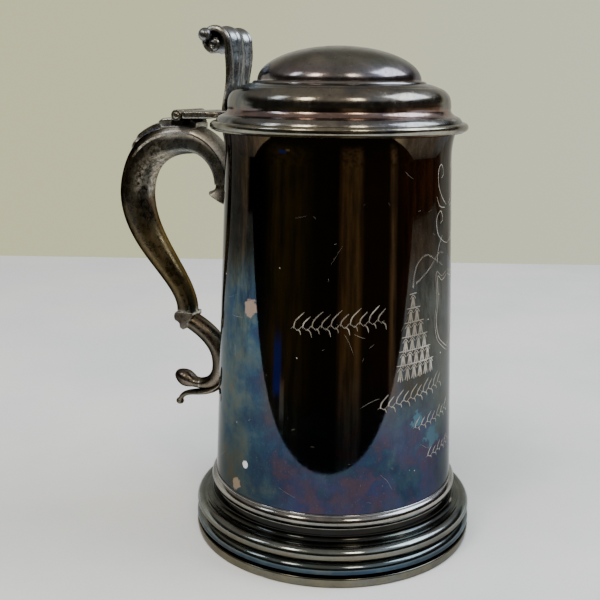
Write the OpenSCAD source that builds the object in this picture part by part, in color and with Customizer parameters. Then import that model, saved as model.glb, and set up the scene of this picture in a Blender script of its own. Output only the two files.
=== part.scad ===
// Lidded quart tankard: tapering drum on a spread moulded foot, domed hinged lid with a
// fluted, rolled-over thumbpiece, hollow scroll handle with a heel and a lower C-scroll.
// Millimetres, +Z up. The origin is on the drum's axis at the bottom of the foot, the
// handle points along -X, and the lid turns about a pin that lies along Y.

/* [Node] */
// Sub-part to draw, or all of them

/* [Drum] */
// Height of the drum's mouth above the table
mouth_z = 178; // [170:1:186]
// Outer radius of the drum carried down to the table plane
drum_low_r = 54.26; // [52:0.1:56]
// Outer radius of the drum at its mouth
drum_top_r = 47.39; // [46:0.1:49]
// Thickness of the drum's wall
wall = 1.5; // [1.2:0.1:1.8]
// How far the lip moulding stands out at the mouth
lip_out = 1.55; // [1:0.05:2]
// Height of the lip moulding
lip_h = 6.5; // [4:0.5:9]

/* [Foot] */
// Outer radius of the band that meets the table
foot_r = 62.3; // [60:0.1:65]
// Height of that band
band_h = 4.2; // [3:0.1:5]
// Radius of the lower round moulding
torus_low = 3; // [2.6:0.1:3.2]
// Radius of the upper round moulding
torus_high = 3.2; // [2.8:0.1:3.4]
// Height of the foot's neck, where it meets the bead
foot_z = 22; // [21:0.5:24]
// Height of the half-round bead on the drum's base
bead_h = 5; // [4:0.5:6]
// How far that bead stands out from the drum
bead_out = 1.8; // [1.2:0.1:2.2]

/* [Lid] */
// Radius of the lid's rim bead
rim_r = 54.1; // [53:0.1:55]
// Height of the rim bead
rim_h = 3.5; // [3:0.1:4]
// Radius of the lid's neck
neck_r = 46.6; // [46:0.1:47.4]
// Height of the neck above the drum's mouth
neck_rise = 8.4; // [7.5:0.1:9.5]
// Height of the shoulder's top above the drum's mouth
shoulder_rise = 20.4; // [19:0.1:21.5]
// Radius of the dome at its foot
dome_r = 34.2; // [32:0.1:35.5]
// Height of the dome
dome_h = 14.2; // [10:0.1:17]
// Thickness of the lid's metal
lid_wall = 1.3; // [1.1:0.1:1.5]

/* [Handle] */
// Greatest distance of the grip's middle line from the drum's axis
grip_x = 99.1; // [96:0.1:102]
// Thickness of the grip at its fullest
grip_t = 15.6; // [14:0.1:18]
// Width of the grip at its fullest
grip_w = 15.5; // [13:0.1:17]
// Thickness of the hollow handle's metal
handle_wall = 1.2; // [1:0.1:1.4]
// Steps along each third of the handle
handle_steps = 11; // [8:1:14]
// Points around the handle's section
section_n = 20; // [16:2:24]

/* [Hinge] */
// Distance of the hinge pin from the drum's axis
hinge_x = 71.5; // [70:0.1:73]
// Height of the hinge pin above the drum's mouth
hinge_rise = 5.2; // [5:0.1:6]
// Radius of the knuckles
knuckle_r = 2.5; // [2.3:0.1:2.7]
// Radius of the hinge pin
pin_r = 1.4; // [1.2:0.05:1.5]
// Length of the row of knuckles
barrel_l = 24; // [22:0.5:26]
// Running gap between the pin and the lid's knuckles
run_gap = 0.05; // [0.03:0.01:0.08]

/* [Thumbpiece] */
// Width of the thumbpiece at its base
thumb_base_w = 25; // [20:0.5:27]
// Width of the thumbpiece at its waist
thumb_waist_w = 20; // [16:0.5:24]
// Width of the thumbpiece at its top
thumb_top_w = 23; // [20:0.5:26]
// Radius of the round bosses at the roll's ends
boss_r = 2.9; // [2.4:0.1:3.2]

/* [Hidden] */
$fn = 96;
arc_n = 9;                              // steps on each moulded curve
taper = (drum_low_r - drum_top_r) / mouth_z;
low_torus_r = foot_r - torus_low;       // circle the lower round moulding runs on
low_torus_z = band_h + torus_low;
high_torus_r = foot_r - torus_high - 0.8;
high_torus_z = low_torus_z + torus_low + torus_high - 0.1;
moulding_z = low_torus_z + torus_low;   // bottom of the upper moulding
lid_z = mouth_z + 0.05;                 // underside of the closed lid
hinge_z = mouth_z + hinge_rise;
rim_z = lid_z + 0.4 + rim_h / 2;        // middle of the rim bead
rim_in = rim_r - 2.1;                   // where the bead meets the lid's flange
dome_z = mouth_z + shoulder_rise;
knuckle_end = 4.4;                      // length of the outer knuckles
knuckle_mid = 4.8;                      // length of the middle knuckle
knuckle_gap = 0.2;
outer_share = 0.57;                     // share of the section outside the middle line

// Radius of the drum's outside at a height
function drum_r(z) = drum_low_r - taper * z;

// Points of a circular arc from a to b that bulges to the right of the way by s
function arc(a, b, s, n = arc_n) =
    let (d = b - a, l = norm(d), m = (a + b) / 2, r = (l * l / 4 + s * s) / (2 * abs(s)),
        nrm = [d[1], -d[0]] / l * sign(s), c = m - nrm * (r - abs(s)),
        t0 = atan2(a[1] - c[1], a[0] - c[0]), raw = atan2(b[1] - c[1], b[0] - c[0]) - t0,
        turn = raw > 180 ? raw - 360 : raw < -180 ? raw + 360 : raw)
    [for (i = [0:n]) c + r * [cos(t0 + turn * i / n), sin(t0 + turn * i / n)]];

// Cubic curve through four control values, and its direction
function bez(c, t) = c[0] * pow(1 - t, 3) + 3 * c[1] * t * pow(1 - t, 2)
    + 3 * c[2] * t * t * (1 - t) + c[3] * pow(t, 3);
function slope(c, t) = (c[1] - c[0]) * pow(1 - t, 2) + 2 * (c[2] - c[1]) * t * (1 - t)
    + (c[3] - c[2]) * t * t;
function unit(v) = v / norm(v);

// Stations [point, direction, thickness, width] along one cubic piece
function piece(path, thick, wide, n, from = 0) =
    [for (i = [from:n]) let (t = i / n)
        [bez(path, t), unit(slope(path, t)), bez(thick, t), bez(wide, t)]];

// One ring of a section: share is the part of the thickness on the left of the way
function ring(s, m, inset, share) =
    [for (k = [0:m - 1])
        let (a = 360 * k / m, t = s[2] - 2 * inset, w = s[3] - 2 * inset,
            r = t * cos(a) * (cos(a) > 0 ? share : 1 - share),
            p = s[0] + r * [-s[1][1], s[1][0]])
        [-p[0], w / 2 * sin(a), p[1]]];

// Triangles between ring i and the next one, seen from outside or inside
function skin(n, m, base, flip) =
    [for (i = [0:n - 2], k = [0:m - 1], h = [0:1])
        let (a = base + i * m + k, b = base + i * m + (k + 1) % m, c = b + m, d = a + m,
            f = h == 0 ? [a, b, c] : [a, c, d])
        flip ? [f[2], f[1], f[0]] : f];

// Triangles of the flat ring that closes a tube's end
function end_ring(m, outer, inner, flip) =
    [for (k = [0:m - 1], h = [0:1])
        let (a = outer + k, b = outer + (k + 1) % m, c = inner + (k + 1) % m, d = inner + k,
            f = h == 0 ? [a, c, b] : [a, d, c])
        flip ? [f[2], f[1], f[0]] : f];

// Triangles that close a solid end
function end_cap(m, base, flip) =
    [for (k = [1:m - 2]) flip ? [base, base + k, base + k + 1] : [base, base + k + 1, base + k]];

// Solid bar along stations
module bar(st, m, share = 0.5) {
    n = len(st);
    polyhedron(points = [for (s = st) each ring(s, m, 0, share)],
        faces = concat(skin(n, m, 0, false), end_cap(m, 0, false),
            end_cap(m, (n - 1) * m, true)));
}

// Hollow tube along stations, open at both ends
module tube(st, m, t, share = 0.5) {
    n = len(st);
    polyhedron(points = concat([for (s = st) each ring(s, m, 0, share)],
            [for (s = st) each ring(s, m, t, share)]),
        faces = concat(skin(n, m, 0, false), skin(n, m, n * m, true),
            end_ring(m, 0, n * m, false),
            end_ring(m, (n - 1) * m, (2 * n - 1) * m, true)));
}

// Turned ring or shell from a half section given as [radius, height] points
module turned(pts) {
    rotate_extrude() polygon(pts);
}

// Side view drawn as [distance from the axis, height], spread across Y
module side(w) {
    rotate([90, 0, 0]) linear_extrude(height = w, center = true) mirror([1, 0]) children();
}

// Middle lines of the handle, from the tail up, over the top and down to the heel
limb_path = [[53.4, 153], [53.9, 162], [60.4, 170.4], [70, 171.2]];
crown_path = [[70, 171.2], [grip_x - 12.7, 171.6], [grip_x - 0.8, 163], [grip_x, 146]];
grip_path = [[grip_x, 146], [grip_x, 123], [73.4, 108], [73.8, 92]];
crown_t = [12.6, 14.2, grip_t + 0.2, grip_t];
limb_st = piece(limb_path, [9.2, 7.8, 9.4, crown_t[0]], [11, 11.5, 13, 14], handle_steps);
crown_st = piece(crown_path, crown_t, [14, 14.6, 15.3, grip_w], handle_steps, 1);
grip_st = piece(grip_path, [grip_t, 15, 7.4, 10], [grip_w, 15, 10.5, 9.6], handle_steps, 1);
handle_st = concat(limb_st, crown_st, grip_st);
heel_z = grip_path[3][1];

// Point on the handle's back, t along the crown
function back(t, lift = 0) =
    let (u = unit(slope(crown_path, t)), th = bez(crown_t, t) * outer_share)
    bez(crown_path, t) + (th + lift) * [-u[1], u[0]];

// Middle lines of the lower scroll
drop_path = [[72.4, 87.4], [65, 84], [56.9, 78], [56.5, 69.5]];
turn_path = [[56.5, 69.5], [56.1, 62.3], [60.4, 57], [68, 56.6]];
neck_path = [[68, 56.6], [70.5, 56.4], [73, 56.8], [75.4, 57.6]];
lower_st = concat(piece(drop_path, [8.6, 9, 9.4, 9.6], [9.4, 9.2, 9, 9], handle_steps),
    piece(turn_path, [9.6, 9, 6.6, 5.8], [9, 8.8, 7.6, 7.2], handle_steps, 1),
    piece(neck_path, [5.8, 5.6, 5.8, 6.4], [7.2, 7.2, 7.4, 7.4], 4, 1));
bulb_at = [77, 58.6];
bulb_r = 4.1;

module foot_rim() color("#7d776c") turned(concat(
    [[foot_r - 2.6, 0], [foot_r - 0.7, 0]],
    arc([foot_r - 0.1, 0.5], [foot_r, band_h], 0.1, 3),
    [[foot_r - 2.6, band_h]]));

module foot_torus() color("#8b8b8a") rotate_extrude() translate([low_torus_r, low_torus_z])
    circle(torus_low);

module foot_moulding() color("#8b8b8a") turned(concat(
    [[low_torus_r - 2.2, moulding_z], [low_torus_r + 0.3, moulding_z]],
    arc([high_torus_r + 1.8, high_torus_z - 2.65], [high_torus_r - 0.3, high_torus_z + 3.1], 3),
    arc([high_torus_r - 1.3, high_torus_z + 3.15], [drum_r(foot_z) + 0.9, foot_z - 2.6], -0.9),
    [[drum_r(foot_z) + 0.8, foot_z], [drum_r(foot_z), foot_z], [drum_r(foot_z - 2.5), foot_z - 2.5],
        [drum_r(foot_z - 2.5) - 1.2, foot_z - 2.6]],
    arc([drum_r(foot_z) + 1.6, foot_z - 4.6], [low_torus_r - 3.6, moulding_z + 1.4], 0.5, 5)));

module foot_bead() color("#9a9a98") turned(concat(
    [[drum_r(foot_z), foot_z]],
    arc([drum_r(foot_z) + 0.4, foot_z], [drum_r(foot_z) + 0.2, foot_z + bead_h], bead_out - 0.3),
    [[drum_r(foot_z + bead_h), foot_z + bead_h]]));

module body_drum() color("#5b5a60") turned([
    [drum_r(foot_z - 2.5), foot_z - 2.5], [drum_r(mouth_z), mouth_z],
    [drum_r(mouth_z) - wall, mouth_z], [drum_r(foot_z - 2.5) - wall, foot_z - 2.5]]);

module body_floor() color("#77757a") turned([
    [0, foot_z - 1], [drum_r(foot_z - 1) - wall, foot_z - 1],
    [drum_r(foot_z + 0.8) - wall, foot_z + 0.8], [0, foot_z + 0.8]]);

module lip_moulding() color("#9a9a98") turned(concat(
    [[drum_r(mouth_z - lip_h), mouth_z - lip_h], [drum_r(mouth_z - lip_h) + 0.25, mouth_z - lip_h]],
    arc([drum_r(mouth_z - lip_h) + 0.35, mouth_z - lip_h + 1],
        [drum_r(mouth_z) + lip_out, mouth_z - 0.5], -0.25, 6),
    [[drum_r(mouth_z) + lip_out, mouth_z], [drum_r(mouth_z), mouth_z]]));

module handle_scroll() color("#8a8478") tube(handle_st, section_n, handle_wall, outer_share);

module handle_tail() color("#8a8478") bar([
    for (i = [0:6]) let (t = i / 6)
        [bez([[53.4, 153], [53.3, 150.5], [53.9, 148], [56, 145.1]], t),
            unit([-0.02 - 0.3 * t, 1]), bez([9.2, 8.4, 8.4, 13.4], t),
            bez([11, 11, 11.6, 13.5], t)]], section_n, outer_share);

module handle_heel() color("#97907f") side(9.6) polygon(concat(
    [[68.4, heel_z], [78.9, heel_z]],
    arc([79, heel_z - 0.3], [80, heel_z - 3.4], -0.45, 4),
    arc([79.4, heel_z - 4.4], [77, heel_z - 5.8], 0.3, 4),
    [[76.8, heel_z - 7.6], [74.8, heel_z - 8.6], [68.6, heel_z - 1.2]]));

module lower_scroll() color("#9c9488") bar(lower_st, 16);

module scroll_bulb() color("#9c9488") translate([-bulb_at[0], 0, bulb_at[1]]) sphere(bulb_r);

module scroll_tendril() color("#a0948a") bar(concat(
    piece([[55.2, 61.6], [56.6, 56], [62, 53.6], [68, 52.3]], [2, 3.4, 3.2, 2.8],
        [4, 7, 7, 6], 8),
    piece([[68, 52.3], [73, 51.2], [78.6, 51], [79.6, 46.2]], [2.8, 2.4, 2, 4],
        [6, 4, 2.2, 4], 8, 1)), 12);

module hinge_strap() color("#8f897e") {
    base = mouth_z + 2.35;
    side(13) polygon([
        [66.8, base - 3.6], [67.2, base - 0.6], [68.4, base], [74.6, base], [75.4, base + 1.3],
        [83.2, base - 0.1], [83.4, base - 1.5], [93.6, base - 4.3], [95.1, base - 5.7],
        [94.4, base - 7.6], [88, base - 5.2], [83, base - 3.7], [76, base - 3.2],
        [70, base - 3.2]]);
}

module strap_drop() color("#8f897e") {
    at = back(0.57, 0.25);
    along = unit(slope(crown_path, 0.57));
    translate([-at[0], 0, at[1]]) rotate([0, atan2(along[1], along[0]), 0])
        scale([3.7, 2.4, 1.7]) sphere(1);
}

module root_knuckles() color("#a59f93") {
    span = [[-barrel_l / 2, knuckle_end], [-knuckle_mid / 2, knuckle_mid],
        [barrel_l / 2 - knuckle_end, knuckle_end]];
    for (s = span) {
        translate([-hinge_x, s[0], hinge_z]) rotate([-90, 0, 0]) difference() {
            union() {
                cylinder(r = knuckle_r, h = s[1]);
                translate([-knuckle_r, 0, 0]) cube([2 * knuckle_r, knuckle_r + 0.35, s[1]]);
            }
            translate([0, 0, -1]) cylinder(r = pin_r, h = s[1] + 2);
        }
    }
    translate([-hinge_x - knuckle_r, -barrel_l / 2, mouth_z + 0.9])
        cube([2 * knuckle_r, barrel_l, 1.45]);
}

module hinge_pin() color("#b5b0a6") translate([-hinge_x, 0, hinge_z]) rotate([90, 0, 0]) {
    cylinder(r = pin_r, h = barrel_l + 0.2, center = true);
    for (s = [0, 1]) mirror([0, 0, s]) translate([0, 0, barrel_l / 2])
        cylinder(r1 = pin_r + 0.35, r2 = pin_r - 0.2, h = 0.4);
}

module lid_leaf() color("#a3a09a") {
    reach = knuckle_r + 0.35;
    low = hinge_z - 1;
    thick = 2.9;
    tip_x = 55.6;
    free = (barrel_l - 2 * knuckle_end - knuckle_mid) / 2 - 2 * knuckle_gap;
    difference() {
        union() {
            translate([-hinge_x, 0, low]) linear_extrude(height = thick) union() {
                translate([0, -barrel_l / 2]) square([hinge_x - tip_x, barrel_l]);
                translate([hinge_x - tip_x, 0]) scale([0.55, 1]) circle(barrel_l / 2);
            }
            rotate([90, 0, 0]) translate([-hinge_x, hinge_z, -barrel_l / 2])
                cylinder(r = knuckle_r, h = barrel_l);
        }
        translate([-hinge_x, 0, hinge_z]) rotate([90, 0, 0])
            cylinder(r = pin_r + run_gap, h = barrel_l + 2, center = true);
        translate([-hinge_x - reach, -barrel_l / 2 - 1, hinge_z - reach])
            cube([2 * reach, knuckle_end + knuckle_gap + 1, 2 * reach]);
        translate([-hinge_x - reach, barrel_l / 2 - knuckle_end - knuckle_gap, hinge_z - reach])
            cube([2 * reach, knuckle_end + knuckle_gap + 1, 2 * reach]);
        translate([-hinge_x - reach, -knuckle_mid / 2 - knuckle_gap, hinge_z - reach])
            cube([2 * reach, knuckle_mid + 2 * knuckle_gap, 2 * reach]);
        translate([0, 0, lid_z - 1]) cylinder(r = neck_r, h = 12);
        turned(concat([[0, lid_z], [rim_in, lid_z], [rim_in, rim_z + rim_h / 2 - 0.15]], flange,
            [[0, mouth_z + neck_rise + 0.5]]));
    }
}

module lid_bead() color("#a3a09a") rotate_extrude() intersection() {
    translate([rim_r - rim_h / 2, rim_z]) circle(rim_h / 2);
    translate([rim_in, rim_z - rim_h]) square([rim_h, 2 * rim_h]);
}

module lid_cover() color("#a3a09a") {
    shoulder = mouth_z + shoulder_rise;
    inner = neck_r - lid_wall;
    turned(concat(
        [[inner, lid_z], [rim_in, lid_z], [rim_in, rim_z + rim_h / 2 - 0.15]],
        flange,
        arc([neck_r, mouth_z + neck_rise + 3.1], [neck_r - 5.1, shoulder - 2.5], 1.35),
        arc([neck_r - 5.3, shoulder - 2.45], [dome_r + 2, shoulder - 0.8], 0.2, 4),
        [[dome_r + 1.6, shoulder - 0.1], [dome_r + 0.3, shoulder], [dome_r - lid_wall, shoulder],
            [dome_r - lid_wall, shoulder - 1.5]],
        arc([dome_r + 1.4, shoulder - 2.2], [neck_r - 5.8, shoulder - 3.9], -0.2, 4),
        arc([neck_r - 6, shoulder - 4], [inner, mouth_z + neck_rise + 2.9], -1.1)));
}

module lid_dome() color("#b0aba1") turned(concat(
    [for (i = [0:24]) let (a = 90 * i / 24)
        [dome_r * cos(a), dome_z + dome_h * sin(a)]],
    [for (i = [24:-1:0]) let (a = 90 * i / 24)
        [(dome_r - lid_wall) * cos(a), dome_z + (dome_h - lid_wall) * sin(a)]]));

module lid_bezel() color("#b0aba1") turned([
    [neck_r - lid_wall - 1, lid_z - 4], [neck_r - lid_wall - 0.25, lid_z - 4],
    [neck_r - lid_wall, lid_z - 3.4], [neck_r - lid_wall, lid_z + 3],
    [neck_r - lid_wall - 1, lid_z + 3]]);

// Profile of the lid's flange, from the rim bead up to the neck
flange = concat(
    arc([rim_in - 0.4, rim_z + rim_h / 2 + 0.2], [neck_r + 2.7, mouth_z + neck_rise - 2], 0.35, 5),
    arc([neck_r + 2.6, mouth_z + neck_rise - 1.9], [neck_r, mouth_z + neck_rise + 0.5], -0.45, 5));

// Side line of the thumbpiece: stem, then over the roll
roll_at = [52.5, mouth_z + 35.6];
roll_r = 5.7;
stem_path = [[48.4, mouth_z + 5.8], [47.8, mouth_z + 18], [46, mouth_z + 26],
    [roll_at[0] - roll_r, roll_at[1]]];
thumb_st = concat(
    piece(stem_path, [3.4, 2.4, 2.2, 2.2],
        [thumb_base_w, thumb_waist_w - 2, thumb_waist_w, thumb_top_w], 10),
    [for (i = [1:11]) let (a = 180 - 20 * i)
        [roll_at + roll_r * [cos(a), sin(a)], [sin(a), -cos(a)], 2.2 - 0.05 * i,
            thumb_top_w]]);

// Four-cornered section used for the thumbpiece's sheet
function strip_ring(s) = [for (c = [[0.5, -0.5], [0.5, 0.5], [-0.5, 0.5], [-0.5, -0.5]])
    let (p = s[0] + s[2] * c[0] * [-s[1][1], s[1][0]]) [-p[0], s[3] * c[1], p[1]]];

module thumb_leaf() color("#a8a5a0") {
    n = len(thumb_st);
    polyhedron(points = [for (s = thumb_st) each strip_ring(s)],
        faces = concat(skin(n, 4, 0, false), end_cap(4, 0, false),
            end_cap(4, (n - 1) * 4, true)));
}

module thumb_roll() color("#8e8b86") translate([-roll_at[0], 0, roll_at[1]])
    rotate([90, 0, 0]) cylinder(r = roll_r - 1.15, h = thumb_top_w - 0.6, center = true);

module thumb_bosses() color("#b8b6b2") for (s = [-1, 1])
    translate([-roll_at[0] - 2.6, s * (thumb_top_w / 2 + boss_r - 1), roll_at[1] + 2.2])
        sphere(boss_r);

foot_rim();
foot_torus();
foot_moulding();
foot_bead();
body_drum();
body_floor();
lip_moulding();
handle_scroll();
handle_tail();
handle_heel();
lower_scroll();
scroll_bulb();
scroll_tendril();
hinge_strap();
strap_drop();
root_knuckles();
hinge_pin();
lid_leaf();
lid_bead();
lid_cover();
lid_dome();
lid_bezel();
thumb_leaf();
thumb_roll();
thumb_bosses();
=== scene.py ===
"""Lidded quart tankard in tarnished silver plate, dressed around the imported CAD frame.

Sizes are in millimetres and are scaled to metres as each mesh is made. The frame is the
CAD's: +Z up, origin on the drum's axis at the foot, handle along -X, hinge pin along Y.
"""

import bpy
import math
import random
from mathutils import Matrix, Vector


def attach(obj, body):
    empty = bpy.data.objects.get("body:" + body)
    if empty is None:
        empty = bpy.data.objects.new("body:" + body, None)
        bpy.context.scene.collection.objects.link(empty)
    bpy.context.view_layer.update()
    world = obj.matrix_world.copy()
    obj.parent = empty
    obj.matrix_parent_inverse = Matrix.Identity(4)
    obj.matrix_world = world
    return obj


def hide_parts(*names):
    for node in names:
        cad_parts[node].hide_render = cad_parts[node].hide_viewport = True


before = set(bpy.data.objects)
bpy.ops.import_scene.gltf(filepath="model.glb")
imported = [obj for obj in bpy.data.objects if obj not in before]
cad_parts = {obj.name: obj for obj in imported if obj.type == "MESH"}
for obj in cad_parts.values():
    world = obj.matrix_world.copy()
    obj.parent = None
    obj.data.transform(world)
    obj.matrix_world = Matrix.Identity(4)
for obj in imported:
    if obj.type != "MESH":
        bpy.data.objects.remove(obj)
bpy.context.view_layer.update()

MM = 0.001
random.seed(7)

# ------------------------------------------------------------------ driving sizes, mm

MOUTH_Z = 178.0
DRUM_LOW_R = 54.26
DRUM_TOP_R = 47.39
WALL = 1.5
FOOT_R = 62.3
BAND_H = 4.2
TORUS_LOW = 3.0
TORUS_HIGH = 3.2
FOOT_Z = 22.0
BEAD_H = 5.0
BEAD_OUT = 1.8
LIP_OUT = 1.55
LIP_FLARE = 12.0        # the drum turns outwards over this height below its mouth
DRUM_FOOT_Z = FOOT_Z - 2.5
WEAR_STEP = 0.5         # rows of points this close let the wear follow the mouldings
RIM_R = 54.1
RIM_H = 3.5
NECK_R = 46.6
NECK_Z = MOUTH_Z + 8.4
SHOULDER_Z = MOUTH_Z + 20.4
DOME_R = 34.2
DOME_H = 14.2
LID_WALL = 1.3
LID_Z = MOUTH_Z + 0.05
RIM_Z = LID_Z + 0.4 + RIM_H / 2
RIM_IN = RIM_R - 2.1
HINGE_X = 71.5
HINGE_Z = MOUTH_Z + 5.2
KNUCKLE_R = 2.5
PIN_R = 1.4
BARREL_L = 24.0
KNUCKLE_END = 4.4
KNUCKLE_MID = 4.8
KNUCKLE_GAP = 0.2
RUN_GAP = 0.05          # between the pin and the lid's knuckles
ROLL_AT = (52.5, MOUTH_Z + 35.6)
ROLL_R = 5.7

CAMERA_TURN = math.radians(20)      # the handle points left of, and away from, the camera

# ------------------------------------------------------------------ curves

def arc(a, b, bulge, n=16):
    """Points of a circular arc from a to b that bulges to the right of the way."""
    ax, az = a
    bx, bz = b
    dx, dz = bx - ax, bz - az
    length = math.hypot(dx, dz)
    s = abs(bulge)
    r = (length * length / 4 + s * s) / (2 * s)
    side = 1 if bulge > 0 else -1
    nx, nz = dz / length * side, -dx / length * side
    cx = (ax + bx) / 2 - nx * (r - s)
    cz = (az + bz) / 2 - nz * (r - s)
    t0 = math.atan2(az - cz, ax - cx)
    turn = math.atan2(bz - cz, bx - cx) - t0
    turn = (turn + math.pi) % (2 * math.pi) - math.pi
    return [(cx + r * math.cos(t0 + turn * i / n), cz + r * math.sin(t0 + turn * i / n))
            for i in range(n + 1)]


def bez(c, t):
    """Cubic curve through four control values, which are numbers or pairs."""
    w = ((1 - t) ** 3, 3 * t * (1 - t) ** 2, 3 * t * t * (1 - t), t ** 3)
    if isinstance(c[0], (int, float)):
        return sum(a * b for a, b in zip(w, c))
    return tuple(sum(w[i] * c[i][k] for i in range(4)) for k in range(2))


def ease(a, b, x):
    """0 at a and before it, 1 at b and past it, and smooth between."""
    t = min(1.0, max(0.0, (x - a) / (b - a)))
    return t * t * (3 - 2 * t)


def drum_r(z):
    """The drum's outer radius at a height."""
    return DRUM_LOW_R - (DRUM_LOW_R - DRUM_TOP_R) * z / MOUTH_Z


def heading(path, t, step=1e-4):
    """The unit direction of a path of points at t."""
    p, q = bez(path, t - step), bez(path, t + step)
    d = Vector((q[0] - p[0], q[1] - p[1])).normalized()
    return d.x, d.y


def stations(pieces, steps):
    """[point, direction, values...] along joined cubic pieces, each (path, value, ...)."""
    out = []
    for index, (path, *values) in enumerate(pieces):
        for i in range(0 if index == 0 else 1, steps + 1):
            t = i / steps
            out.append((bez(path, t), heading(path, t), *[bez(v, t) for v in values]))
    return out


# ------------------------------------------------------------------ mesh building

def add(name, verts, faces, body, material, nodes=(), crease=32):
    """A mesh given in millimetres, shaded smooth except along edges sharper than crease."""
    mesh = bpy.data.meshes.new(name)
    mesh.from_pydata([(x * MM, y * MM, z * MM) for x, y, z in verts], [], faces)
    mesh.validate()
    mesh.shade_smooth()
    mesh.set_sharp_from_angle(angle=math.radians(crease))
    ob = bpy.data.objects.new(name, mesh)
    bpy.context.scene.collection.objects.link(ob)
    mesh.materials.append(material)
    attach(ob, body)
    if nodes:
        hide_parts(*nodes)
    return ob


def bevelled(ob, width, segments=3, sharp=30):
    """Rounds the edges that turn by more than sharp degrees."""
    mod = ob.modifiers.new("bevel", "BEVEL")
    mod.width = width * MM
    mod.segments = segments
    mod.limit_method = "ANGLE"
    mod.angle_limit = math.radians(sharp)
    mod.harden_normals = True


def lathe(profile, n=192, step=None):
    """A ring or, where the profile touches the axis, a solid from a closed half section.

    step is the longest stretch of the profile that is left without a row of points.
    """
    if step:
        fine = []
        for (r0, z0), (r1, z1) in zip(profile, profile[1:] + profile[:1]):
            count = max(1, math.ceil(math.hypot(r1 - r0, z1 - z0) / step))
            fine += [(r0 + (r1 - r0) * i / count, z0 + (z1 - z0) * i / count)
                     for i in range(count)]
        profile = fine
    verts, faces, rows = [], [], []
    for r, z in profile:
        if r < 1e-6:
            rows.append([len(verts)] * n)
            verts.append((0, 0, z))
        else:
            rows.append(list(range(len(verts), len(verts) + n)))
            verts += [(r * math.cos(2 * math.pi * k / n), r * math.sin(2 * math.pi * k / n), z)
                      for k in range(n)]
    for i, row in enumerate(rows):
        nxt = rows[(i + 1) % len(rows)]
        for k in range(n):
            face = []
            for v in (row[k], row[(k + 1) % n], nxt[(k + 1) % n], nxt[k]):
                if v not in face:
                    face.append(v)
            if len(face) > 2:
                faces.append(face)
    return verts, faces


def loft(rings):
    """Skin over rings of equal length, with a fan to the middle of each end."""
    m = len(rings[0])
    verts = [p for ring in rings for p in ring]
    faces = [(i * m + k, i * m + (k + 1) % m, (i + 1) * m + (k + 1) % m, (i + 1) * m + k)
             for i in range(len(rings) - 1) for k in range(m)]
    for ring, base, flip in ((rings[0], 0, False), (rings[-1], (len(rings) - 1) * m, True)):
        c = len(verts)
        verts.append(tuple(sum(p[j] for p in ring) / m for j in range(3)))
        for k in range(m):
            a, b = base + k, base + (k + 1) % m
            faces.append((c, a, b) if flip else (c, b, a))
    return verts, faces


def squared(value, power):
    """A signed power; below 1 it pushes a circle out towards a square."""
    return math.copysign(abs(value) ** power, value)


def section(p, d, thick, wide, m=40, share=0.5, square=1.0, seam=False, ridge=0.0):
    """One ring of a bar in the handle's plane.

    share is the part of the thickness on the left of the way, square below 1 flattens the
    sides, seam makes the inner face a shallow plate with a crisp edge, and ridge is how
    far a band along the back of a seamed bar stands proud.
    """
    ring = []
    wrap = math.radians(118)            # where the seams are, from the middle of the back
    n_in = m // 4
    n_out = m - n_in
    seam_u = math.sin(wrap) ** square * wide / 2
    seam_v = -abs(math.cos(wrap)) ** square * share * thick
    for k in range(m):
        if not seam:
            a = 2 * math.pi * k / m
            side = share if math.cos(a) > 0 else 1 - share
            u = squared(math.sin(a), square) * wide / 2
            v = squared(math.cos(a), square) * thick * side
        elif k <= n_out:
            a = -wrap + 2 * wrap * k / n_out
            proud = ridge * ease(66, 60, abs(math.degrees(a)))
            u = squared(math.sin(a), square) * wide / 2 + proud * math.sin(a)
            v = squared(math.cos(a), square) * share * thick + proud * math.cos(a)
        else:
            across = 1 - 2 * (k - n_out) / n_in
            u = seam_u * across
            v = seam_v + ((share - 1) * thick - seam_v) * (1 - across ** 2)
        ring.append((v * d[1] - p[0], u, p[1] + v * d[0]))
    return ring


def extruded(outline, width, middle=0.0):
    """A side view given as (distance from the axis, height), spread along Y."""
    m = len(outline)
    verts = [(-x, middle + side * width / 2, z) for side in (-1, 1) for x, z in outline]
    faces = [tuple(range(m)), tuple(reversed(range(m, 2 * m)))]
    faces += [(k, k + m, (k + 1) % m + m, (k + 1) % m) for k in range(m)]
    return verts, faces


def laid_down(mesh, x, z, y=0.0):
    """A turned piece laid along Y, its axis x behind the drum's and z above the table."""
    verts, faces = mesh
    return [(a - x, c + y, z - b) for a, b, c in verts], faces


def merge(*parts):
    """Several meshes as one."""
    verts, faces = [], []
    for v, f in parts:
        base = len(verts)
        verts += v
        faces += [tuple(i + base for i in face) for face in f]
    return verts, faces


def ball(centre, radii, turn=0.0, rows=20, cols=32):
    """A rounded blob; turn tips it in the handle's plane."""
    verts, faces = [], []
    c, s = math.cos(turn), math.sin(turn)
    for i in range(rows + 1):
        a = math.pi * i / rows
        for k in range(cols):
            b = 2 * math.pi * k / cols
            x = radii[0] * math.cos(a)
            y = radii[1] * math.sin(a) * math.cos(b)
            z = radii[2] * math.sin(a) * math.sin(b)
            verts.append((-(centre[0] + x * c - z * s), centre[1] + y, centre[2] + x * s + z * c))
    for i in range(rows):
        for k in range(cols):
            faces.append((i * cols + k, i * cols + (k + 1) % cols,
                          (i + 1) * cols + (k + 1) % cols, (i + 1) * cols + k))
    return weld(verts, faces)


def weld(verts, faces):
    """Joins points that share a place, and drops what that leaves empty."""
    seen, index, out = {}, [], []
    for v in verts:
        key = tuple(round(c, 5) for c in v)
        if key not in seen:
            seen[key] = len(out)
            out.append(v)
        index.append(seen[key])
    kept = []
    for f in faces:
        g = []
        for i in f:
            if index[i] not in g:
                g.append(index[i])
        if len(g) > 2:
            kept.append(tuple(g))
    return out, kept


# ------------------------------------------------------------------ materials


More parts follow.
